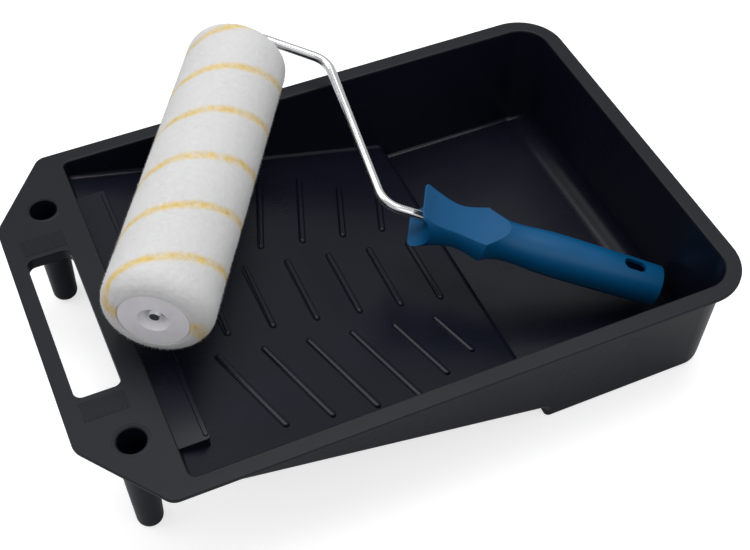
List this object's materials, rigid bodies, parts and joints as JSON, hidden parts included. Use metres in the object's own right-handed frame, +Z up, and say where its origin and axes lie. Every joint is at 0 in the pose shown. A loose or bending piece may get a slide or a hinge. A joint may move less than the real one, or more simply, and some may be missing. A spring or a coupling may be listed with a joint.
{
  "type": "paint tray with roller",
  "caption": "Moulded paint tray with a deep well, ribbed ramp, carrying slot and hollow legs, and a cage-frame paint roller with a removable fabric sleeve resting across it.",
  "frame": {"origin": "centre of the flat underside of the tray's well, on the surface that the tray stands on", "axes": "+X from the carrying flange along the tray's length to the deep end, +Y across the tray towards the side where the roller's rod bends back, +Z up"},
  "size_m": [0.425, 0.3138, 0.1563],
  "materials": {
    "tray_plastic": "moulded plastic, near black, satin with a fine grain",
    "grip_plastic": "moulded plastic, strong blue, semi-gloss",
    "cap_plastic": "moulded plastic, light grey, matt",
    "wire_steel": "steel wire, bright plated and smooth",
    "zinc_steel": "pressed steel, zinc plated",
    "core_board": "resin-bound tube, pale, matt",
    "pile_fabric": "woven pile, off white with narrow gold yarns running round it as a slanting line"
  },
  "bodies": {
    "tray": {"tray": "tray_plastic"},
    "frame": {"rod": "wire_steel", "handle": "grip_plastic", "push_nut": "zinc_steel", "outer_washer": "zinc_steel", "inner_washer": "zinc_steel", "stop_collar": "zinc_steel"},
    "cage": {"outer_cap": "cap_plastic", "inner_cap": "cap_plastic", "cage_wire_1": "wire_steel", "cage_wire_2": "wire_steel", "cage_wire_3": "wire_steel", "cage_wire_4": "wire_steel", "cage_wire_5": "wire_steel"},
    "sleeve": {"sleeve_core": "core_board", "sleeve_pile": "pile_fabric"}
  },
  "joints": [
    {"name": "roller_lift", "type": "slide", "parent": "tray", "child": "frame", "axis": [0, 0, 1], "range_m": [0, 0.25]},
    {"name": "cage_spin", "type": "hinge", "parent": "frame", "child": "cage", "pos_m": [-0.2835, -0.0485, 0.1214], "axis": [0.5336, 0.8457, 0], "continuous": true},
    {"name": "sleeve_pull", "type": "slide", "parent": "cage", "child": "sleeve", "axis": [-0.5336, -0.8457, 0], "range_m": [0, 0.24]}
  ]
}
